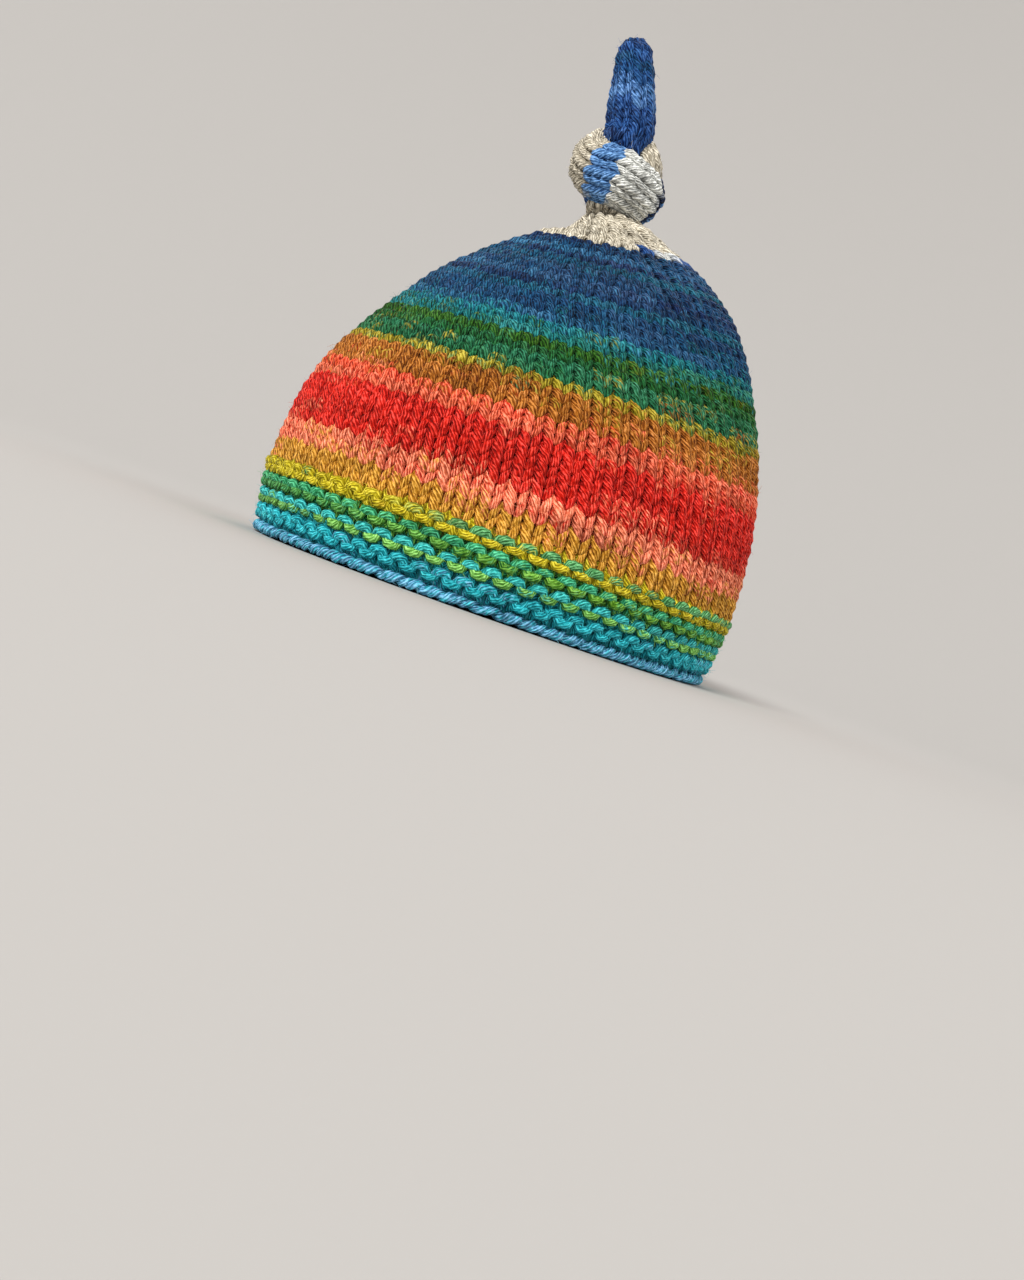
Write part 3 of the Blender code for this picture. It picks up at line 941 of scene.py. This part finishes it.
COUNTS = [
    [stitches for first, stitches in DECREASES if number >= first][-1]
    for number in range(1, BODY_ROUNDS + 1)
]
COUNTS += STEM_ROUNDS
TURNS = [even_turns(count, rise) for count, rise in zip(COUNTS, ROUND_RISES)]
LINKS = settle(TURNS)
GARTER_ROUNDS = 2 * len(RIDGE_CENTRES)


def knit_rounds(name, node, surface, first, last, seed):
    """Rounds of the crown or the stem, counted from the brim."""
    strands = Strands()
    for j in range(first, last):
        rng = np.random.default_rng(seed * 100 + j)
        height = CROWN_ROUND if j < BODY_ROUNDS else STEM_ROUND
        upper = TURNS[j]
        lower = TURNS[j - 1][LINKS[j - 1]].mean(axis=1) if j else upper
        number = GARTER_ROUNDS + 1 + j
        loop_round(strands, rng, surface, "plain", ROUND_RISES[j], height, lower, upper, number)
    finish_knit(strands, name, node)


def finish_knit(strands, name, node):
    GATHERED[node].append(strands)
    place(strands.mesh(name), node, MATERIALS[node])


def knit_brim():
    """The garter ridges, each a knit round whose heads and a purl round whose feet stand out."""
    strands = Strands()
    turns = even_turns(STITCHES, 0.0)
    pitch = RIDGE_CENTRES[1] - RIDGE_CENTRES[0]
    half = pitch / 2
    for i, centre in enumerate(RIDGE_CENTRES):
        for kind, rise, number in (
            ("garter_knit", centre - half / 2, 2 * i + 1),
            ("garter_purl", centre + half / 2, 2 * i + 2),
        ):
            rng = np.random.default_rng(number)
            loop_round(strands, rng, brim_point, kind, rise, half, turns, turns, number)
    cast_on(strands)

    # Behind the top ridge, the feet of the crown's first round lie over this one
    rng = np.random.default_rng(TOP_RIDGE_SEED)
    rise = BRIM_HEIGHT - CROWN_ROUND / 2
    loop_round(strands, rng, crown_point, "plain", rise, CROWN_ROUND, turns, turns, GARTER_ROUNDS)
    finish_knit(strands, "brim_knit", "brim")


def cast_on(strands):
    """The edge of the rim: two strands twisted round each other, one twist for each stitch."""
    steps = STITCHES * LOOP_STEPS
    turn = circle(steps)
    for i, start in enumerate((0.0, math.pi)):
        rng = np.random.default_rng(CAST_ON_SEED + i)
        swell = 1 + lumps(rng, steps, 1.0) * 0.16
        width, depth = CAST_ON_WIDTH * swell, CAST_ON_DEPTH * swell
        phase = turn * STITCHES + start + 0.9 * lumps(rng, steps, 1.3)
        level = CAST_ON_RISE + CAST_ON_RADIUS * 0.8 * np.sin(phase)
        level = level + 0.25 * MM * lumps(rng, steps, 0.9)
        points, normals = with_normals(brim_point, turn, np.maximum(level, width / 2))
        lift = CAST_ON_RADIUS * np.cos(phase) - CAST_ON_DEPTH / 2 - CAST_ON_SINK
        lift = lift + 0.35 * MM * lumps(rng, steps, 1.0)
        points = points + normals * lift[:, None]
        colours = dyed(yarn_colour(round_spot(0, turn), YARN), rng, steps)
        flecks = dyed(yarn_colour(round_spot(1, turn), YARN), rng, steps)
        strands.add(points, normals, width, depth, colours, flecks, np.cos(phase))


def knit_tube(name, node, low, high, seed):
    """Rounds of the knitted tube between two rises along it."""
    strands = Strands()
    count = int(round((TUBE_LENGTH - TUBE_START) / TUBE_ROUND_HEIGHT))
    height = (TUBE_LENGTH - TUBE_START) / count
    for j in range(count):
        rise = TUBE_START + height * (j + 0.5)
        if not low <= rise < high:
            continue
        rng = np.random.default_rng(seed * 100 + j)
        turns = even_turns(TUBE_STITCHES, 0.0)
        loop_round(strands, rng, tube_point, "tube", rise, height, turns, turns, j, TUBE_YARN)
    finish_knit(strands, name, node)


def backing_spots(surface, rise):
    """Where the yarn is, in rounds, at this rise of a surface."""
    if surface is brim_point:
        return np.clip(rise / BRIM_HEIGHT, 0, 0.99) * (GARTER_ROUNDS + 1)
    if surface is tube_point:
        return (rise - TUBE_START) / TUBE_ROUND_HEIGHT - 0.5
    return GARTER_ROUNDS + 1 + (rise - BRIM_HEIGHT) / CROWN_ROUND - 0.5


def backing(node, surface, low, high, rings, steps, depth, thickness):
    """A thin closed wall of wool behind the loops, seen only between them, in painted shade."""
    turns = circle(steps)
    rises = np.linspace(low, high, rings)
    rows = [with_normals(surface, turns, np.full(steps, rise)) for rise in rises]
    outside = [points - normals * depth for points, normals in rows]
    inside = [points - normals * (depth + thickness) for points, normals in rows]
    loop = np.array(outside + inside[::-1])
    count = len(loop)
    index = np.arange(count * steps).reshape(count, steps)
    quads = ring_quads(np.concatenate([index, index[:1]]))
    data = mesh_from(node + "_backing", loop.reshape(-1, 3), quads)
    spots = backing_spots(surface, np.concatenate([rises, rises[::-1]]))
    yarn = TUBE_YARN if surface is tube_point else YARN
    colours = [yarn_colour(round_spot(spot, turns), yarn) for spot in spots]
    # The yarn's colours, darkened as painted shade
    add_colours(data, "yarn_colour", np.concatenate(colours) * BACKING_SHADE)
    around = np.arange(steps)[None, :, None] + np.array([0, 1, 1, 0])
    up = np.arange(count)[:, None, None] + np.array([0, 0, 1, 1])
    around, up = np.broadcast_arrays(around / steps, up / count)
    add_uv(data, "OFBake", np.stack([around, up], -1).reshape(-1, 2))
    place(data, node, MATERIALS["backing"])


def new_material(name):
    """A material, a function that adds a node to it, and one that fills its shader's inputs."""
    material = bpy.data.materials.new(name)
    material.use_nodes = True
    nodes, links = material.node_tree.nodes, material.node_tree.links

    def fill(made, values):
        for name, value in values.items():
            if isinstance(value, bpy.types.NodeSocket):
                links.new(value, made.inputs[name])
            else:
                made.inputs[name].default_value = value

    def node(kind, values=(), **settings):
        made = nodes.new(kind)
        for name, value in settings.items():
            setattr(made, name, value)
        fill(made, dict(values))
        return made

    return material, node, lambda values: fill(nodes["Principled BSDF"], values)


def mapped(node, value, low, high, to_low, to_high):
    limits = {"From Min": low, "From Max": high, "To Min": to_low, "To Max": to_high}
    return node("ShaderNodeMapRange", {"Value": value, **limits}).outputs["Result"]


def scaled(node, colour, light):
    values = {0: colour, "Scale": light}
    return node("ShaderNodeVectorMath", values, operation="SCALE").outputs["Vector"]


def layer(node, name):
    return node("ShaderNodeVertexColor", layer_name=name).outputs["Color"]


def mixed(node, share, colour, other):
    values = {0: share, 6: colour, 7: other}
    return node("ShaderNodeMix", values, data_type="RGBA").outputs[2]


def relief(node, height, strength, distance):
    values = {"Height": height, "Strength": strength, "Distance": distance}
    return node("ShaderNodeBump", values).outputs["Normal"]


def yarn_material(name):
    """Loosely spun wool: fine strands that wind round the yarn, with painted highlights where they
    stand out.
    """
    material, node, fill_shader = new_material(name)
    place_on_yarn = node("ShaderNodeUVMap", uv_map="Yarn").outputs["UV"]

    def along_strands(stretch):
        """Millimetres along and across the strands, drawn out along them."""
        return node(
            "ShaderNodeMapping",
            {"Vector": place_on_yarn, "Rotation": (0, 0, STRAND_ANGLE), "Scale": (stretch, 1, 1)},
            vector_type="TEXTURE",
        ).outputs["Vector"]

    def noise(stretch, scale, detail):
        values = {"Vector": along_strands(stretch), "Scale": scale, "Detail": detail}
        return node("ShaderNodeTexNoise", values, noise_dimensions="2D").outputs["Fac"]

    odd = mapped(node, noise(3.5, scale=1.6, detail=2.0), 0.48, 0.64, 0.0, 0.85)
    colour = mixed(node, odd, layer(node, "yarn_colour"), layer(node, "fleck_colour"))
    plies = node(
        "ShaderNodeTexWave",
        {"Vector": along_strands(2.0), "Scale": 0.314 / STRAND_WIDTH, "Distortion": 5.0,
         "Detail": 2.0, "Detail Scale": 1.6, "Detail Roughness": 0.6},
        wave_type="BANDS", bands_direction="Y",
    ).outputs["Fac"]
    fibres = noise(5.0, scale=3.4, detail=3.0)
    tufts = noise(1.8, scale=1.1, detail=2.0)
    height = 0.0
    for value, weight in ((plies, 0.38), (fibres, 0.52), (tufts, 0.95)):
        values = {0: value, 1: weight, 2: height}
        height = node("ShaderNodeMath", values, operation="MULTIPLY_ADD").outputs[0]

    # Painted shade, deeper and darker, between the strands; painted highlights, paler, where they
    # catch the light
    light = mapped(node, height, 0.60, 1.15, 0.42, 1.30)
    depth = mapped(node, height, 0.60, 1.02, 1.50, 1.0)
    shaded_colour = node("ShaderNodeGamma", {"Color": colour, "Gamma": depth}).outputs["Color"]
    shine = mapped(node, height, 0.94, 1.26, 0.0, 1.0)
    pale = {"Color": colour, "Saturation": 0.94, "Value": 1.70}
    lit = node("ShaderNodeHueSaturation", pale).outputs["Color"]
    shown = mixed(node, shine, scaled(node, shaded_colour, light), lit)
    fill_shader({
        "Base Color": shown,
        "Normal": relief(node, height, 1.0, 0.0006),
        "Roughness": 0.60,
        "Specular IOR Level": 0.10,
        "Sheen Weight": 0.02,
        "Sheen Roughness": 0.50,
    })
    return material


def backing_material():
    """Matted wool behind the loops."""
    material, node, fill_shader = new_material("backing_wool")
    colour = layer(node, "yarn_colour")
    place_in_cloth = node("ShaderNodeTexCoord").outputs["Object"]
    values = {"Vector": place_in_cloth, "Scale": 900.0, "Detail": 4.0}
    noise = node("ShaderNodeTexNoise", values).outputs["Fac"]
    shown = scaled(node, colour, mapped(node, noise, 0.3, 0.7, 0.6, 1.2))
    normal = relief(node, noise, 0.6, 0.0005)
    fill_shader({"Base Color": shown, "Normal": normal, "Roughness": 0.95})
    return material


MATERIALS = {node: yarn_material(node + "_yarn") for node in FUZZ}
MATERIALS["backing"] = backing_material()

# The camera, as the photograph has it, but raised above the floor. Pixels are of 1024 by 1280.
CAMERA_AZIMUTH = math.radians(37)
CAMERA_ELEVATION = math.radians(1.6)
CAMERA_ROLL = math.radians(19.69)
CAMERA_DISTANCE = 0.57
IMAGE_WIDTH, IMAGE_HEIGHT = 1024, 1280
FOCAL_PIXELS = 1512
SENSOR_HEIGHT = 36.0
RIM_MIDDLE_PIXEL = (480, 608)


def way_to(azimuth, elevation):
    """The way from the hat to a place round it. Azimuths go from the front towards +X."""
    aside = math.cos(elevation)
    return Vector((math.sin(azimuth) * aside, -math.cos(azimuth) * aside, math.sin(elevation)))


def make_camera():
    view = -way_to(CAMERA_AZIMUTH, CAMERA_ELEVATION)
    right = Vector((math.cos(CAMERA_AZIMUTH), math.sin(CAMERA_AZIMUTH), 0.0))
    up = right.cross(view)
    rolled_right = right * math.cos(CAMERA_ROLL) + up * math.sin(CAMERA_ROLL)
    rolled_up = up * math.cos(CAMERA_ROLL) - right * math.sin(CAMERA_ROLL)
    axes = Matrix((rolled_right, rolled_up, -view)).transposed()
    aside = (RIM_MIDDLE_PIXEL[0] - IMAGE_WIDTH / 2) / FOCAL_PIXELS
    below = (RIM_MIDDLE_PIXEL[1] - IMAGE_HEIGHT / 2) / FOCAL_PIXELS
    target = Vector((aside, -below, -1.0)).normalized()
    aim = target.rotation_difference(Vector((0.0, 0.0, -1.0))).to_matrix()
    data = bpy.data.cameras.new("camera")
    data.sensor_fit = "VERTICAL"
    data.sensor_height = SENSOR_HEIGHT
    data.lens = FOCAL_PIXELS / IMAGE_HEIGHT * SENSOR_HEIGHT
    data.clip_start = 0.01
    camera = add_object(data)
    matrix = (axes @ aim).to_4x4()
    matrix.translation = -view * CAMERA_DISTANCE
    camera.matrix_world = matrix
    bpy.context.scene.camera = camera


# The floor is flat out to a radius, and then it curves up into a wall all round
FLAT_RADIUS = 0.62
BEND_RADIUS = 2.5
BEND_ANGLE = math.radians(75)
BEND_STEPS = 32
FLOOR_STEPS = 96
FLOOR_COLOUR = (0.47, 0.455, 0.44, 1.0)


def make_stage():
    """A pale floor that curves up into a wall, with no edge in sight from any side."""
    profile = [(0.02, 0.0), (0.2, 0.0), (FLAT_RADIUS, 0.0)]
    for angle in np.linspace(0, BEND_ANGLE, BEND_STEPS + 1)[1:]:
        aside, rise = BEND_RADIUS * math.sin(angle), BEND_RADIUS * (1 - math.cos(angle))
        profile.append((FLAT_RADIUS + aside, rise))
    steps = FLOOR_STEPS
    turns = circle(steps)
    rings = np.array([
        np.stack([r * np.cos(turns), r * np.sin(turns), np.full(steps, z)], -1) for r, z in profile
    ])
    middle = len(profile) * steps
    faces = ring_quads(np.arange(middle).reshape(-1, steps)).tolist()
    faces += [(i, (i + 1) % steps, middle) for i in range(steps)]
    points = rings.reshape(-1, 3).tolist() + [(0.0, 0.0, 0.0)]
    data = bpy.data.meshes.new("floor")
    data.from_pydata(points, [], faces)
    data.shade_smooth()
    floor = add_object(data)
    material, _, fill_shader = new_material("pale_floor")
    fill_shader({"Base Color": FLOOR_COLOUR, "Roughness": 0.95, "Specular IOR Level": 0.1})
    data.materials.append(material)


# Large soft lights. Aside is the angle to the camera's right, seen from above.
LIGHTS = [
    # name, aside, elevation, size, power, colour
    ("key", -28, 42, 2.0, 200.0, (1.0, 0.98, 0.95)),
    ("fill", 60, 40, 3.4, 40.0, (0.93, 0.96, 1.0)),
    ("back", 170, 50, 3.0, 50.0, (1.0, 1.0, 1.0)),
]
LIGHT_DISTANCE = 5.2
LIGHT_AIM = Vector((0, 0, 0.08))  # the point that the lights face
WORLD_COLOUR = (1.0, 0.98, 0.95, 1.0)
WORLD_STRENGTH = 0.72


def make_lights():
    world = bpy.data.worlds.new("studio")
    world.use_nodes = True
    background = world.node_tree.nodes["Background"]
    background.inputs["Color"].default_value = WORLD_COLOUR
    background.inputs["Strength"].default_value = WORLD_STRENGTH
    bpy.context.scene.world = world
    for name, aside, elevation, size, power, colour in LIGHTS:
        data = bpy.data.lights.new(name, "AREA")
        data.shape = "DISK"
        data.size = size
        data.energy = power
        data.color = colour
        light = add_object(data)
        way = way_to(CAMERA_AZIMUTH + math.radians(aside), math.radians(elevation))
        light.location = way * LIGHT_DISTANCE + LIGHT_AIM
        light.rotation_euler = way.to_track_quat("Z", "Y").to_euler()
        light.visible_camera = False


make_camera()
make_stage()
make_lights()
bpy.context.scene.view_settings.view_transform = "Standard"

# Where the tip starts: its last sections rise without a turn
TIP_RISE = float(np.interp(KNOT_HEIGHT, TUBE_SECTIONS[-100:, 0, 2], TUBE_RISES[-100:]))

knit_brim()
knit_rounds("crown_lower", "crown", crown_point, 0, 12, seed=1)
knit_rounds("crown_middle", "crown", crown_point, 12, 24, seed=2)
knit_rounds("crown_upper", "crown", crown_point, 24, BODY_ROUNDS, seed=3)
knit_rounds("stem_knit", "stem", stem_point, BODY_ROUNDS, len(COUNTS), seed=4)
knit_tube("knot_knit", "knot", TUBE_START, TIP_RISE, seed=5)
knit_tube("tip_knit", "tip", TIP_RISE, TUBE_LENGTH, seed=6)

# The walls behind the loops. They stop just short of the rim, the crown's top and the tip's end.
BACKINGS = [
    # node, surface, low, high, rings, steps, depth, thickness
    ("brim", brim_point, 0.0022, BRIM_HEIGHT, 16, 144, 0.0028, 0.0006),
    ("crown", crown_point, BRIM_HEIGHT, CROWN_TOP - 0.0004, 48, 144, 0.0031, 0.0006),
    ("stem", stem_point, CROWN_TOP, STEM_TOP, 12, 72, 0.0026, 0.0005),
    ("knot", tube_point, TUBE_START, TIP_RISE, 120, 32, 0.0026, 0.0005),
    ("tip", tube_point, TIP_RISE, TUBE_LENGTH - 0.003, 24, 32, 0.0026, 0.0005),
]
for row in BACKINGS:
    backing(*row)

for i, (node, count) in enumerate(FUZZ.items()):
    fuzz = Fuzz(GATHERED[node], np.random.default_rng(FUZZ_SEED + i), count)
    place(fuzz.mesh(node + "_fuzz"), node, MATERIALS["backing"])
